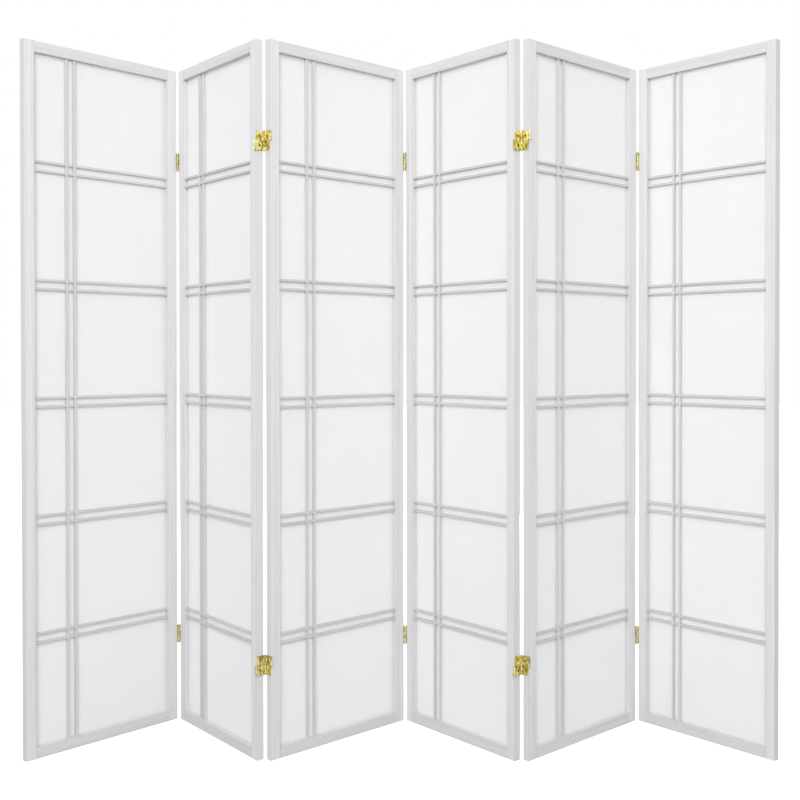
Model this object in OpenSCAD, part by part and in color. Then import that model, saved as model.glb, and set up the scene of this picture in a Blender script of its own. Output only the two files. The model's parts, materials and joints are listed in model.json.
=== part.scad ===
// Folding screen of six framed panels, each with a lattice of doubled bars over a sheet of paper.
// Neighbouring panels are joined by two-way hinges: each hinge has a leaf on either panel's edge and
// two link plates that cross between them, so a pair of panels can fold about its front or its back.

/* [Panels] */
// Width of one panel
panel_w = 438; // [300:1:700]
// Height of one panel
panel_h = 1784; // [1200:1:2400]
// Thickness of one panel
panel_t = 19; // [15:0.5:40]

/* [Frame] */
// Width of a stile, seen from the front
stile_w = 28; // [24:0.5:60]
// Height of the top rail, seen from the front
top_rail_h = 28; // [20:0.5:80]
// Height of the bottom rail, seen from the front
bottom_rail_h = 28; // [20:0.5:120]
// Radius of the eased edges along the stiles and rails
frame_ease = 1; // [0.5:0.1:2]
// Length of the tenon on each end of a rail
tenon_l = 14; // [6:0.5:20]
// Thickness of a tenon
tenon_t = 8; // [5:0.5:12]

/* [Lattice] */
// Number of doubled bars across a panel
row_count = 5; // [1:1:7]
// Width of a bar, seen from the front
bar_w = 6; // [4:0.5:12]
// Depth of a bar, front to back
bar_d = 8; // [5:0.5:10]
// Radius of the eased edges along a bar
bar_ease = 0.7; // [0.3:0.1:1.5]
// Distance between the centres of the two bars of a pair
pair_spacing = 22; // [14:0.5:40]
// Depth of the bars' front faces behind the frame's front face
bar_setback = 4; // [1:0.5:5]
// Width of the narrow panes, between the left stile and the upright pair
narrow_pane_w = 85; // [40:1:140]
// Height of the panes under the top rail
top_pane_h = 266; // [120:1:300]
// Height of the panes over the bottom rail
bottom_pane_h = 256; // [120:1:300]
// Length of a bar's end that is let into the frame
bar_seat = 5; // [2:0.5:8]

/* [Paper] */
// Thickness of the paper
paper_t = 0.4; // [0.3:0.1:1.5]
// Width of the paper's border that is held in the frame's groove
paper_lap = 3.5; // [2:0.5:5]

/* [Hinges] */
// Height of a hinge
hinge_h = 48; // [36:1:80]
// Distance from the panel's top down to the centre of the upper hinge
upper_hinge_drop = 249; // [120:1:300]
// Distance from the floor up to the centre of the lower hinge
lower_hinge_rise = 236; // [120:1:300]
// Outer diameter of a knuckle
knuckle_d = 6.5; // [5.5:0.1:9]
// Diameter of a hinge pin
pin_d = 2.6; // [1.6:0.1:3]
// Diameter of a hinge pin's head
pin_head_d = 4.4; // [3.4:0.1:4.8]
// Height of a hinge pin's head
pin_head_h = 1; // [0.6:0.1:2]
// Thickness of the leaves and links
plate_t = 1; // [0.8:0.1:1.5]

/* [Screws] */
// Diameter of a screw's head
screw_head_d = 5; // [4:0.1:6]
// Diameter of a screw's shank
screw_d = 2.8; // [2:0.1:3.5]
// Length of a screw from the leaf's inner face to its tip
screw_l = 14; // [8:0.5:18]
// Length of a screw's tapered tip
screw_tip_l = 3; // [2:0.5:4]
// Diameter of a screw's blunt point
screw_point_d = 0.8; // [0.4:0.1:1.5]
// Width of the slots of a screw's cross recess
recess_w = 0.8; // [0.5:0.1:1]
// Length of the slots of a screw's cross recess
recess_l = 3; // [2:0.1:3.5]
// Depth of a screw's cross recess
recess_d = 0.7; // [0.3:0.1:0.9]

/* [Folding] */
// Angle of the first panel from the line that the screen stands along
first_yaw = 51; // [20:0.5:80]
// Angle between panels 1 and 2, which meet away from the front
fold_1 = 79.5; // [20:0.5:160]
// Angle between panels 2 and 3, which meet towards the front
fold_2 = 83.5; // [20:0.5:160]
// Angle between panels 3 and 4, which meet away from the front
fold_3 = 85.5; // [20:0.5:160]
// Angle between panels 4 and 5, which meet towards the front
fold_4 = 85.5; // [20:0.5:160]
// Angle between panels 5 and 6, which meet away from the front
fold_5 = 86.5; // [20:0.5:160]

/* [Fits] */
// Clearance around a tenon or a bar's end in its socket
socket_fit = 0.1; // [0.05:0.05:0.3]
// Clearance beyond the end of a tenon or a bar
socket_end = 0.5; // [0.2:0.1:2]
// Clearance on each side of a bar in the notch of the bar it crosses
lap_fit = 0.05; // [0.05:0.05:0.2]
// Clearance around the paper's border in the frame's groove
groove_fit = 0.15; // [0.1:0.05:0.3]
// Radial clearance of a hinge pin in its knuckles
pin_fit = 0.05; // [0.02:0.01:0.1]
// Gap between two knuckles on one pin
knuckle_gap = 0.25; // [0.1:0.05:0.5]
// Gap between the upper and the lower half of a hinge
half_gap = 0.3; // [0.2:0.1:1]
// Clearance between a leaf and the link plate beside it
plate_clear = 0.75; // [0.3:0.05:1]
// Clearance between a knuckle and the panel's corner that turns around it
knuckle_clear = 0.5; // [0.3:0.1:1.5]
// Gap between a link plate's edge and the knuckles of the leaves
link_fit = 0.5; // [0.4:0.1:1]
// Distance of a leaf's edges inside the panel's faces
leaf_inset = 0.6; // [0.5:0.1:1]
// Radial clearance around a screw
screw_fit = 0.1; // [0.05:0.05:0.2]
// Radial clearance of a link's hole around a screw's head
access_fit = 0.4; // [0.2:0.1:1]

/* [Hidden] */
panel_count = 6;
PANELS = [1 : panel_count];
PIECES = ["left_stile", "right_stile", "rails", "uprights", "cross_bars", "paper",
          "hinge_leaves", "hinge_links", "hinge_pins", "hinge_screws"];
NODES = [for (n = PANELS, piece = PIECES) str("panel_", n, "_", piece)];
node = "all";

folds = [fold_1, fold_2, fold_3, fold_4, fold_5];
wood = [0.85, 0.85, 0.86];
bar_wood = [0.93, 0.93, 0.93];
paper_white = [0.97, 0.97, 0.96];
brass = [0.86, 0.74, 0.33];
cut = 1; // how far a cut runs past the face that it opens
strap_root = 1; // how far a knuckle's strap runs into its plate
$fn = 48;

// A tenon is as high as its rail is between the paper's groove and the same depth on the other side
tenon_shoulder = paper_lap + socket_end;

// Lattice
opening_w = panel_w - 2 * stile_w;
opening_h = panel_h - top_rail_h - bottom_rail_h;
pair_w = pair_spacing + bar_w;
row_pitch = row_count < 2 ? 0
    : (opening_h - top_pane_h - bottom_pane_h - pair_w) / (row_count - 1);
first_row_z = bottom_rail_h + bottom_pane_h + pair_w / 2;
pair_sides = [-pair_spacing / 2, pair_spacing / 2];
upright_xs = [for (s = pair_sides) stile_w + narrow_pane_w + pair_w / 2 + s];
bar_zs = [for (row = [0 : row_count - 1], s = pair_sides) first_row_z + row * row_pitch + s];
bar_back = bar_setback + bar_d;
bar_middle = bar_setback + bar_d / 2;

// Hinges. A hinge's own frame has its origin midway between the two panels' edges and faces, with
// the left-hand panel's edge at -edge_gap / 2 and the axes at y = -axis_y and y = axis_y. The edges
// are as far apart as two leaves and a link need. The axes are as far out as lets a knuckle clear
// the panel's corner and the leaf's.
edge_gap = 3 * plate_t + 2 * plate_clear;
knuckle_room = knuckle_d / 2 + knuckle_clear;
axis_out = max(sqrt(pow(knuckle_room, 2) - pow(edge_gap / 2, 2)),
               sqrt(pow(knuckle_room, 2) - pow(edge_gap / 2 - plate_t, 2)) - leaf_inset);
axis_y = panel_t / 2 + axis_out;
hinge_zs = [lower_hinge_rise, panel_h - upper_hinge_drop];
knuckle_l = (hinge_h / 2 - half_gap / 2 - 2 * knuckle_gap) / 3;
bore_d = pin_d + 2 * pin_fit;
screw_z = hinge_h / 4;

// Standing line of the panels. An odd fold closes about the front axis, an even one about the back.
function turn(n) = (n % 2 == 0 ? -1 : 1) * (180 - folds[n - 2]);
function yaw(n) = n == 1 ? first_yaw : yaw(n - 1) + turn(n);
function fold_y(n) = n % 2 == 0 ? -axis_out : panel_t + axis_out;
function from(p, n, x, y) = [p[0] + x * cos(yaw(n)) - y * sin(yaw(n)),
                             p[1] + x * sin(yaw(n)) + y * cos(yaw(n))];
function fold_axis(n) = from(corner(n - 1), n - 1, panel_w + edge_gap / 2, fold_y(n));
function corner(n) = n == 1 ? [0, 0] : from(fold_axis(n), n, edge_gap / 2, -fold_y(n));

// The box around all panels and knuckles, whose centre becomes the origin
corners = [for (n = PANELS, x = [0, panel_w], y = [0, panel_t]) from(corner(n), n, x, y)];
axes = [for (n = [2 : panel_count], y = [-axis_out, panel_t + axis_out])
        each [from(corner(n), n, -edge_gap / 2, y),
              from(corner(n - 1), n - 1, panel_w + edge_gap / 2, y)]];
function low(k) = min(min([for (p = corners) p[k]]), min([for (p = axes) p[k]]) - knuckle_d / 2);
function high(k) = max(max([for (p = corners) p[k]]), max([for (p = axes) p[k]]) + knuckle_d / 2);
middle = [(low(0) + high(0)) / 2, (low(1) + high(1)) / 2];

module stand(n) {
    translate([corner(n)[0] - middle[0], corner(n)[1] - middle[1], 0])
        rotate([0, 0, yaw(n)])
            children();
}

// A panel's two edges: the right-hand one leads to the next panel, the left-hand one to the last
module at_hinges(n) {
    for (z = hinge_zs) {
        if (n < panel_count) translate([panel_w + edge_gap / 2, panel_t / 2, z]) children();
        if (n > 1) translate([-edge_gap / 2, panel_t / 2, z]) rotate([0, 0, 180]) children();
    }
}

// A length of wood along +Z with a corner at the origin and its four long edges eased
module eased(w, d, l, ease) {
    linear_extrude(l) {
        translate([ease, 0]) square([w - 2 * ease, d]);
        translate([0, ease]) square([w, d - 2 * ease]);
        for (x = [ease, w - ease], y = [ease, d - ease])
            translate([x, y]) circle(r = ease);
    }
}

module tenon_socket(z, h) {
    translate([stile_w - tenon_l - socket_end, (panel_t - tenon_t) / 2 - socket_fit,
               z + tenon_shoulder - socket_fit])
        cube([tenon_l + socket_end + cut, tenon_t + 2 * socket_fit,
              h - 2 * tenon_shoulder + 2 * socket_fit]);
}

module stile(hinged) {
    difference() {
        eased(stile_w, panel_t, panel_h, frame_ease);
        tenon_socket(0, bottom_rail_h);
        tenon_socket(panel_h - top_rail_h, top_rail_h);
        for (z = bar_zs)
            translate([stile_w - bar_seat - socket_end, bar_setback - socket_fit,
                       z - bar_w / 2 - socket_fit])
                cube([bar_seat + socket_end + cut, bar_d + 2 * socket_fit, bar_w + 2 * socket_fit]);
        translate([stile_w - paper_lap - socket_end, bar_back - groove_fit,
                   bottom_rail_h - paper_lap - socket_end])
            cube([paper_lap + socket_end + cut, paper_t + 2 * groove_fit,
                  opening_h + 2 * (paper_lap + socket_end)]);
        if (hinged)
            for (z = hinge_zs, s = [-screw_z, screw_z])
                translate([-cut, panel_t / 2, z + s])
                    rotate([0, 90, 0])
                        cylinder(d = screw_d + 2 * screw_fit, h = screw_l + socket_end + cut);
    }
}

module left_stile(n) {
    color(wood) stand(n) stile(n > 1);
}

module right_stile(n) {
    color(wood) stand(n) translate([panel_w, 0, 0]) mirror([1, 0, 0]) stile(n < panel_count);
}

// A rail lying on z = 0, with its bar sockets and groove in its upper face
module rail(h) {
    difference() {
        union() {
            translate([stile_w, 0, 0])
                rotate([90, 0, 90])
                    eased(panel_t, h, opening_w, frame_ease);
            translate([stile_w - tenon_l, (panel_t - tenon_t) / 2, tenon_shoulder])
                cube([opening_w + 2 * tenon_l, tenon_t, h - 2 * tenon_shoulder]);
        }
        for (x = upright_xs)
            translate([x - bar_w / 2 - socket_fit, bar_setback - socket_fit, h - bar_seat - socket_end])
                cube([bar_w + 2 * socket_fit, bar_d + 2 * socket_fit, bar_seat + socket_end + cut]);
        translate([stile_w - cut, bar_back - groove_fit, h - paper_lap - socket_end])
            cube([opening_w + 2 * cut, paper_t + 2 * groove_fit, paper_lap + socket_end + cut]);
    }
}

module rails(n) {
    color(wood) stand(n) {
        rail(bottom_rail_h);
        translate([0, 0, panel_h]) mirror([0, 0, 1]) rail(top_rail_h);
    }
}

// The uprights are notched from behind, and the cross bars from the front
module uprights(n) {
    color(bar_wood) stand(n)
        for (x = upright_xs)
            difference() {
                translate([x - bar_w / 2, bar_setback, bottom_rail_h - bar_seat])
                    eased(bar_w, bar_d, opening_h + 2 * bar_seat, bar_ease);
                for (z = bar_zs)
                    translate([x - bar_w / 2 - cut, bar_middle, z - bar_w / 2 - lap_fit])
                        cube([bar_w + 2 * cut, bar_d, bar_w + 2 * lap_fit]);
            }
}

module cross_bars(n) {
    color(bar_wood) stand(n)
        for (z = bar_zs)
            difference() {
                translate([stile_w - bar_seat, bar_setback, z - bar_w / 2])
                    rotate([90, 0, 90])
                        eased(bar_d, bar_w, opening_w + 2 * bar_seat, bar_ease);
                for (x = upright_xs)
                    translate([x - bar_w / 2 - lap_fit, bar_middle - bar_d, z - bar_w / 2 - cut])
                        cube([bar_w + 2 * lap_fit, bar_d, bar_w + 2 * cut]);
            }
}

module paper(n) {
    color(paper_white) stand(n)
        translate([stile_w - paper_lap, bar_back, bottom_rail_h - paper_lap])
            cube([opening_w + 2 * paper_lap, paper_t, opening_h + 2 * paper_lap]);
}

// One knuckle of the upper half on the back axis: slots 0 and 2 belong to a leaf, slot 1 to a link
function knuckle_z(slot) = half_gap / 2 + slot * (knuckle_l + knuckle_gap);

module knuckle(slot, plate_x, from_y) {
    translate([0, 0, knuckle_z(slot)])
        difference() {
            union() {
                translate([0, axis_y, 0]) cylinder(d = knuckle_d, h = knuckle_l);
                translate([plate_x, from_y, 0]) cube([plate_t, axis_y - from_y, knuckle_l]);
            }
            translate([0, axis_y, -cut]) cylinder(d = bore_d, h = knuckle_l + 2 * cut);
        }
}

// A leaf on the left-hand panel's edge: upper knuckles behind, lower knuckles in front
module leaf() {
    leaf_x = -edge_gap / 2;
    edge_y = panel_t / 2 - leaf_inset;
    difference() {
        translate([leaf_x, -edge_y, -hinge_h / 2]) cube([plate_t, 2 * edge_y, hinge_h]);
        for (z = [-screw_z, screw_z])
            translate([leaf_x, 0, z])
                rotate([0, 90, 0])
                    cylinder(r1 = screw_d / 2 + screw_fit, r2 = screw_head_d / 2 + screw_fit,
                             h = plate_t);
    }
    for (flip = [0, 180], slot = [0, 2])
        rotate([flip, 0, 0]) knuckle(slot, leaf_x, edge_y - strap_root);
}

module hinge_leaves(n) {
    color(brass) stand(n) at_hinges(n) leaf();
}

// The upper link, midway between the edges, from one axis to the other
module link() {
    edge_y = axis_y - knuckle_d / 2 - link_fit;
    difference() {
        translate([-plate_t / 2, -edge_y, half_gap / 2])
            cube([plate_t, 2 * edge_y, (hinge_h - half_gap) / 2]);
        translate([-plate_t, 0, screw_z])
            rotate([0, 90, 0])
                cylinder(d = screw_head_d + 2 * access_fit, h = 2 * plate_t);
    }
    for (side = [0, 180])
        rotate([0, 0, side]) knuckle(1, -plate_t / 2, edge_y - strap_root);
}

// Odd panels carry the upper link of each of their hinges, and even panels the lower one
module own_half(n) {
    rotate([n % 2 == 0 ? 180 : 0, 0, 0]) children();
}

module hinge_links(n) {
    color(brass) stand(n) at_hinges(n) own_half(n) link();
}

module pin() {
    translate([0, 0, half_gap / 2]) cylinder(d = pin_d, h = (hinge_h - half_gap) / 2 + knuckle_gap);
    translate([0, 0, hinge_h / 2 + knuckle_gap]) cylinder(d = pin_head_d, h = pin_head_h);
}

module hinge_pins(n) {
    color(brass) stand(n) at_hinges(n) own_half(n)
        for (y = [-axis_y, axis_y])
            translate([0, y, 0]) pin();
}

// A screw that points along -X, with its head's face flush with the leaf's
module screw() {
    leaf_face = plate_t - edge_gap / 2;
    difference() {
        rotate([0, -90, 0]) {
            translate([0, 0, -leaf_face])
                cylinder(r1 = screw_head_d / 2, r2 = screw_d / 2, h = plate_t);
            translate([0, 0, edge_gap / 2]) cylinder(d = screw_d, h = screw_l - screw_tip_l);
            translate([0, 0, edge_gap / 2 + screw_l - screw_tip_l])
                cylinder(d1 = screw_d, d2 = screw_point_d, h = screw_tip_l);
        }
        for (turned = [0, 90])
            rotate([turned, 0, 0])
                translate([leaf_face - recess_d, -recess_l / 2, -recess_w / 2])
                    cube([recess_d + cut, recess_l, recess_w]);
    }
}

module hinge_screws(n) {
    color(brass) stand(n) at_hinges(n)
        for (z = [-screw_z, screw_z])
            translate([0, 0, z]) screw();
}

function shown(n, piece) = node == "all" || node == str("panel_", n, "_", piece);

for (n = PANELS) {
    if (shown(n, "left_stile")) left_stile(n);
    if (shown(n, "right_stile")) right_stile(n);
    if (shown(n, "rails")) rails(n);
    if (shown(n, "uprights")) uprights(n);
    if (shown(n, "cross_bars")) cross_bars(n);
    if (shown(n, "paper")) paper(n);
    if (shown(n, "hinge_leaves")) hinge_leaves(n);
    if (shown(n, "hinge_links")) hinge_links(n);
    if (shown(n, "hinge_pins")) hinge_pins(n);
    if (shown(n, "hinge_screws")) hinge_screws(n);
}
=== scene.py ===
import json
import math

import bmesh
import bpy
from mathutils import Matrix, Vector

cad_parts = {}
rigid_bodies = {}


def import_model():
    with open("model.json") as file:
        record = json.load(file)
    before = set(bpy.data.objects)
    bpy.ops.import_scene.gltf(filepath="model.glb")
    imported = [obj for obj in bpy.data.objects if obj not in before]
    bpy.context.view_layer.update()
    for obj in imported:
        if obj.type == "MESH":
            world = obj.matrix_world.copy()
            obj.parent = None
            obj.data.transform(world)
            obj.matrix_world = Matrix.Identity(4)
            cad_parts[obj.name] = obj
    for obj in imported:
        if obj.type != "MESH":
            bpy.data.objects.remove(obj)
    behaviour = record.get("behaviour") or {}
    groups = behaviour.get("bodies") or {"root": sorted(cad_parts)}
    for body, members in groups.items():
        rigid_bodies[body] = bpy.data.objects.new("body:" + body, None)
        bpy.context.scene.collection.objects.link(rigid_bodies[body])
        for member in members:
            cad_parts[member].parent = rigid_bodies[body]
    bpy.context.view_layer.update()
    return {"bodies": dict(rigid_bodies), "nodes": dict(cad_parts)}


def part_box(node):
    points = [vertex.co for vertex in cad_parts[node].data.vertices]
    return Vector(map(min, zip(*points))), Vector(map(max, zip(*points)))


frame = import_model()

scene = bpy.context.scene
panelCount = len(frame["bodies"])
panels = range(1, panelCount + 1)


# the angle a panel stands at, from the middles of its two stiles
def panelYaw(n):
    leftBox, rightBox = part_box(f"panel_{n}_left_stile"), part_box(f"panel_{n}_right_stile")
    start, end = (leftBox[0] + leftBox[1]) / 2, (rightBox[0] + rightBox[1]) / 2
    return math.atan2(end.y - start.y, end.x - start.x)


# a shader socket that can be used in sums
class Sock:
    def __init__(self, tree, out):
        self.tree, self.out = tree, out

    def maths(self, operation, other, flipped=False):
        node = self.tree.nodes.new("ShaderNodeMath")
        node.operation = operation
        first, second = (other, self) if flipped else (self, other)
        for socket, value in zip(node.inputs, (first, second)):
            if isinstance(value, Sock):
                self.tree.links.new(value.out, socket)
            else:
                socket.default_value = value
        return Sock(self.tree, node.outputs[0])

    def __add__(self, other):
        return self.maths("ADD", other)

    __radd__ = __add__

    def __sub__(self, other):
        return self.maths("SUBTRACT", other)

    def __rsub__(self, other):
        return self.maths("SUBTRACT", other, True)

    def __mul__(self, other):
        return self.maths("MULTIPLY", other)

    __rmul__ = __mul__


class Graph:
    def __init__(self, tree):
        self.tree = tree

    # adds one node: its settings come first, then the values or links of its sockets
    def node(self, kind, settings=None, result=0, **values):
        made = self.tree.nodes.new("ShaderNode" + kind)
        for key, value in (settings or {}).items():
            if key == "stops":
                self.setStops(made.color_ramp, value)
            else:
                setattr(made, key, value)
        for key, value in values.items():
            socket = made.inputs[int(key[2:])] if key.startswith("in") else made.inputs[key.replace("_", " ")]
            if isinstance(value, Sock):
                self.tree.links.new(value.out, socket)
            else:
                socket.default_value = value
        return Sock(self.tree, made.outputs[result])

    def setStops(self, ramp, stops):
        while len(ramp.elements) < len(stops):
            ramp.elements.new(0.5)
        for element, (place, level) in zip(ramp.elements, stops):
            element.position = place
            element.color = (level, level, level, 1)

    def mixColour(self, factor, first, second):
        return self.node("Mix", {"data_type": "RGBA"}, 2, in0=factor, in6=first, in7=second)


class Mat(Graph):
    def __init__(self, name, **constants):
        self.material = bpy.data.materials.new(name)
        self.material.use_nodes = True
        super().__init__(self.material.node_tree)
        self.shader = self.tree.nodes["Principled BSDF"]
        for socketName, value in constants.items():
            self.shader.inputs[socketName.replace("_", " ")].default_value = value

    def feed(self, socketName, sock):
        self.tree.links.new(sock.out, self.shader.inputs[socketName])

    def bump(self, height, strength, relief):
        self.feed("Normal", self.node("Bump", Height=height, Strength=strength, Distance=relief))

    # a vector of the object's, its place (3) or its normal (1), turned so that X runs along the panel
    def turned(self, result, yaw):
        return self.node("Mapping", Vector=self.node("TexCoord", result=result), Rotation=(0, 0, -yaw))

    # the place on the object, stretched by scale
    def place(self, yaw, scale=(1, 1, 1)):
        return self.node("Mapping", Vector=self.turned(3, yaw), Scale=scale)

    # 1 on faces that look along the axis (0 along a panel, 1 through it, 2 up) and 0 on those square to it
    def facing(self, yaw, axis):
        share = self.node("SeparateXYZ", result=axis, Vector=self.turned(1, yaw))
        return share * share

    # a mask that goes from 0 to 1 as the input goes from low to high
    def rise(self, low, high, sock):
        return self.node("ValToRGB", {"stops": [(low, 0), (high, 1)]}, Fac=sock)


# a grey that leans a little towards violet
def grey(value):
    return (value, value - 0.004, value + 0.003, 1)


# white lacquer over wood whose fine straight grain still shows
wood = {
    "paint": grey(0.69),
    "grain": grey(0.58),
    "wash": grey(0.79),
    "side": grey(0.62),     # painted shade on the narrow sides
    "edgeShade": grey(0.34),     # painted shade, as dark lines along the eased edges
    "sideShare": 0.85,
    "edgeShadeShare": 0.6,
    "fineness": 420.0,      # grain lines per metre across the board
    "length": 5.0,          # and along it
    "broad": 0.14,          # fineness of the grain's bands as a share of its lines'
    "lineShare": 0.5,
    "cloudShare": 0.22,
    "relief": 0.00012,
    "roughness": (0.36, 0.55),
}

# the rails are the same wood painted a little greyer than the stiles; the bars are the same wood too, and
# their greyer paint is painted shade, darkest on the cross bars as painted shade of their undersides
railWood = {**wood, "paint": grey(0.64), "grain": grey(0.55), "wash": grey(0.73)}
lattice = {**wood, "paint": grey(0.62), "grain": grey(0.54), "wash": grey(0.69), "side": grey(0.54)}
shadedCrossLattice = {**wood, "paint": grey(0.57), "grain": grey(0.50), "wash": grey(0.64), "side": grey(0.53)}


def woodMaterial(name, yaw, along, look=wood):
    # along is "z" for upright pieces and "x" for pieces that run across a panel
    m = Mat(name, IOR=1.45)
    fine, run = look["fineness"], look["length"]
    scale = (fine, fine, run) if along == "z" else (run, fine, fine)
    broadScale = tuple(look["broad"] * s for s in scale)
    fineGrain = m.node("TexNoise", Vector=m.place(yaw, scale), Scale=1.0, Detail=4.0, Roughness=0.62)
    broadGrain = m.node("TexNoise", Vector=m.place(yaw, broadScale), Scale=1.0, Detail=3.0, Distortion=0.6)
    cloud = m.node("TexNoise", Vector=m.place(yaw), Scale=3.2, Detail=2.0)
    lines = m.rise(0.36, 0.62, fineGrain)
    bands = m.rise(0.34, 0.68, broadGrain)
    base = m.mixColour(bands, look["grain"], look["paint"])
    base = m.mixColour(look["lineShare"] * lines, base, look["wash"])
    base = m.mixColour(look["cloudShare"] * cloud, base, look["wash"])
    flat = m.facing(yaw, 1)
    # painted shade: the narrow sides, which look along the panel or up and down, are darkened
    base = m.mixColour(look["sideShare"] * (1 - flat), base, look["side"])
    slanted = 4 * flat * (1 - flat)     # 1 where an eased edge looks half forwards and half sideways
    # painted shade: dark lines along the eased edges, where a face looks half forwards and half sideways
    m.feed("Base Color", m.mixColour(look["edgeShadeShare"] * slanted, base, look["edgeShade"]))
    low, high = look["roughness"]
    m.feed("Roughness", high - (high - low) * lines)
    m.bump(0.7 * lines + 0.3 * bands, 0.55, look["relief"])
    return m.material


# white matt paper with long fibres, through which some of the light comes
paper = {
    "sheet": grey(0.88),
    "fibre": grey(0.94),
    "cloudy": grey(0.855),
    "lit": grey(0.80),      # colour of the light that comes through
    "through": 0.46,        # share of the light that does
    "cloudShare": 0.5,
    "fibreShare": 0.35,
    "relief": 0.00006,
}


def paperMaterial(name, yaw, seed, look=paper):
    m = Mat(name, IOR=1.3, Roughness=0.9, Specular_IOR_Level=0.25)
    cloud = m.node("TexNoise", {"noise_dimensions": "4D"}, Vector=m.place(yaw), Scale=7.0, Detail=3.0, W=seed)
    cloudMask = m.rise(0.35, 0.7, cloud)
    # fibres lie both ways, as thin ridges of two stretched noises
    across = m.node("TexNoise", Vector=m.place(yaw, (60, 300, 420)), Scale=1.0, Detail=3.0, Distortion=1.6)
    upward = m.node("TexNoise", Vector=m.place(yaw, (380, 300, 70)), Scale=1.0, Detail=3.0, Distortion=1.6)
    ridges = {"stops": [(0.47, 0), (0.5, 1), (0.53, 0)]}
    fibres = m.node("ValToRGB", ridges, Fac=across) + m.node("ValToRGB", ridges, Fac=upward)
    fibreMask = fibres.maths("MINIMUM", 1.0)
    base = m.mixColour(look["cloudShare"] * cloudMask, look["sheet"], look["cloudy"])
    m.feed("Base Color", m.mixColour(look["fibreShare"] * fibreMask, base, look["fibre"]))
    m.bump(0.6 * fibreMask + 0.4 * cloud, 0.5, look["relief"])
    front = Sock(m.tree, m.shader.outputs[0])
    behind = m.node("BsdfTranslucent", Color=look["lit"])
    mixed = m.node("MixShader", in0=look["through"], in1=front, in2=behind)
    m.tree.links.new(mixed.out, m.tree.nodes["Material Output"].inputs["Surface"])
    return m.material


# bright yellow brass plate, clouded in places, and the screws' darker heads
brass = {
    "bright": (1.0, 0.90, 0.42, 1),
    "deep": (0.20, 0.165, 0.01, 1),
    "roughness": (0.14, 0.34),
    "brushing": 900.0,      # fine lines per metre
    "stainShare": 0.8,
    "endShadeShare": 0.7,        # how much painted shade darkens the faces that look up and down
    "relief": 0.0003,       # how uneven the pressed plate is
}
screwMetal = {**brass, "bright": (0.40, 0.33, 0.09, 1), "deep": (0.14, 0.11, 0.02, 1)}


def brassMaterial(name, yaw, look=brass):
    m = Mat(name, Metallic=1.0)
    scale = (look["brushing"], look["brushing"], 40)
    brushed = m.node("TexNoise", Vector=m.place(yaw, scale), Scale=1.0, Detail=2.0)
    stain = m.node("TexNoise", Vector=m.place(yaw, (170, 170, 80)), Scale=1.0, Detail=3.0)
    stainMask = m.rise(0.4, 0.64, stain)
    base = m.mixColour(look["stainShare"] * stainMask, look["bright"], look["deep"])
    # painted shade on the faces that look up and down, the plates' and knuckles' ends
    m.feed("Base Color", m.mixColour(look["endShadeShare"] * m.facing(yaw, 2), base, look["deep"]))
    low, high = look["roughness"]
    m.feed("Roughness", low + (high - low) * (0.6 * brushed + 0.4 * stainMask))
    uneven = m.node("TexNoise", Vector=m.place(yaw), Scale=330.0, Detail=1.0)
    m.bump(0.9 * uneven + 0.1 * brushed, 0.35, look["relief"])
    return m.material


def give(node, material):
    piece = frame["nodes"][node]
    piece.data.materials.clear()
    piece.data.materials.append(material)


def dressPanel(n):
    yaw = panelYaw(n)
    upright = woodMaterial(f"frame wood upright {n}", yaw, "z")
    level = woodMaterial(f"frame wood level {n}", yaw, "x", railWood)
    barUpright = woodMaterial(f"lattice wood upright {n}", yaw, "z", lattice)
    barLevel = woodMaterial(f"lattice wood level {n}", yaw, "x", shadedCrossLattice)
    sheet = paperMaterial(f"paper {n}", yaw, n)
    hingeBrass = brassMaterial(f"hinge brass {n}", yaw)
    screwBrass = brassMaterial(f"screw brass {n}", yaw, screwMetal)
    for name, material, slot in (
        ("left_stile", upright, "frame_wood"), ("right_stile", upright, "frame_wood"),
        ("rails", level, "frame_wood"), ("uprights", barUpright, "lattice_wood"),
        ("cross_bars", barLevel, "lattice_wood"), ("paper", sheet, "screen_paper"),
        ("hinge_leaves", hingeBrass, "hinge_brass"), ("hinge_links", hingeBrass, "hinge_brass"),
        ("hinge_pins", hingeBrass, "hinge_brass"), ("hinge_screws", screwBrass, "screw_brass"),
    ):
        give(f"panel_{n}_{name}", material)


for n in panels:
    dressPanel(n)
print("panels dressed:", panelCount)


# the floor glows so that it shows white, which also lights the paper a little from behind and nothing else
# directly: the sky's lower half stands for the rest of the light that a white floor throws up
stage = {
    "floor": grey(0.93),
    "floorGlow": 0.5,
    "size": 40.0,
    "below": 0.30,          # the sky's light straight down, level and high up
    "level": 0.68,
    "above": 0.86,
    "sides": 0.3,           # how much dimmer the sky is to the left and right
    "sheen": 0.62,          # how much brighter gloss shows it above eye level
    "key": {"place": (-0.2, -4.6, 3.1), "aim": (0, 0, 1.0), "size": 2.6, "power": 195.0},
    "back": {"place": (0.1, 4.2, 0.5), "aim": (0, 0, 0.5), "size": 2.6, "power": 175.0},
}


def makeFloor(look=stage):
    form = bmesh.new()
    bmesh.ops.create_grid(form, x_segments=1, y_segments=1, size=look["size"] / 2)
    mesh = bpy.data.meshes.new("floor")
    form.to_mesh(mesh)
    form.free()
    floor = bpy.data.objects.new("floor", mesh)
    scene.collection.objects.link(floor)
    floor.visible_diffuse = floor.visible_glossy = False
    m = Mat("floor", Base_Color=look["floor"], Roughness=0.85, Specular_IOR_Level=0.1,
            Emission_Color=(1, 1, 1, 1), Emission_Strength=look["floorGlow"])
    mesh.materials.append(m.material)


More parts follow.
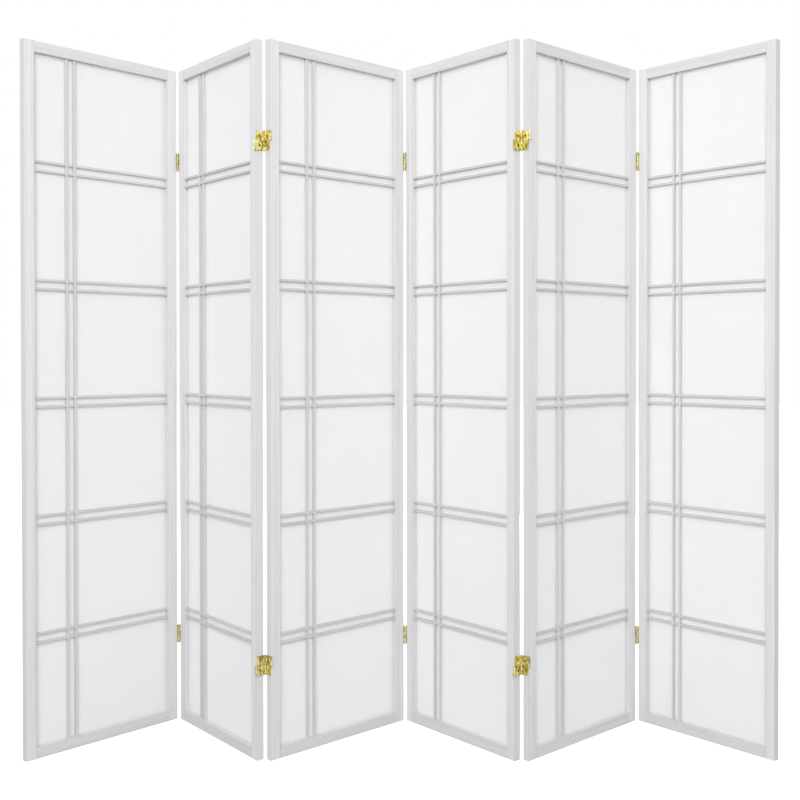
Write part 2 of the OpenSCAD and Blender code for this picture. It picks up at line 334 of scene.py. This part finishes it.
def makeLight(name, place, aim, size, power):
    lamp = bpy.data.lights.new(name, "AREA")
    lamp.shape, lamp.size, lamp.energy = "SQUARE", size, power
    made = bpy.data.objects.new(name, lamp)
    made.location = place
    made.rotation_euler = (Vector(aim) - Vector(place)).to_track_quat("-Z", "Y").to_euler()
    made.visible_glossy = False     # the brass reflects the soft sky and no lamp
    scene.collection.objects.link(made)


# a white studio that is dimmer low down, and plain white where the camera sees it
def makeSky(look=stage):
    world = bpy.data.worlds.new("studio")
    scene.world = world
    world.use_nodes = True
    g = Graph(world.node_tree)
    direction = g.node("TexCoord")
    sideways = g.node("SeparateXYZ", Vector=direction)
    height = g.node("SeparateXYZ", result=2, Vector=direction)
    stops = [(0.0, look["below"]), (0.5, look["level"]), (0.75, look["above"])]
    light = g.node("ValToRGB", {"stops": stops}, Fac=0.5 + 0.5 * height)
    light = light * (1 - look["sides"] * sideways * sideways)
    stops = [(0.4, 0.5 * look["sheen"]), (0.6, look["sheen"])]
    sheen = g.node("ValToRGB", {"stops": stops}, Fac=0.5 + 0.5 * height)
    light = light + g.node("LightPath", result=3) * sheen   # to glossy rays
    seen = g.node("LightPath")                              # by the camera
    background = world.node_tree.nodes["Background"]
    background.inputs["Color"].default_value = (1, 1, 1, 1)
    world.node_tree.links.new((light + seen * (1 - light)).out, background.inputs["Strength"])


view = {"place": (0.2707, -3.0146, 1.0076), "pitch": 0.5926, "lens": 51.86, "shift": (-0.1376, -0.0423)}


def makeCamera(look=view):
    data = bpy.data.cameras.new("camera")
    data.lens, data.sensor_width = look["lens"], 36.0
    data.shift_x, data.shift_y = look["shift"]
    data.clip_start, data.clip_end = 0.05, 100
    made = bpy.data.objects.new("camera", data)
    made.location = look["place"]
    made.rotation_euler = (math.radians(90 - look["pitch"]), 0, 0)
    scene.collection.objects.link(made)
    scene.camera = made


makeFloor()
makeSky()
for name in ("key", "back"):
    makeLight(name, **stage[name])
makeCamera()
scene.view_settings.view_transform = "Standard"
print("stage and camera made")
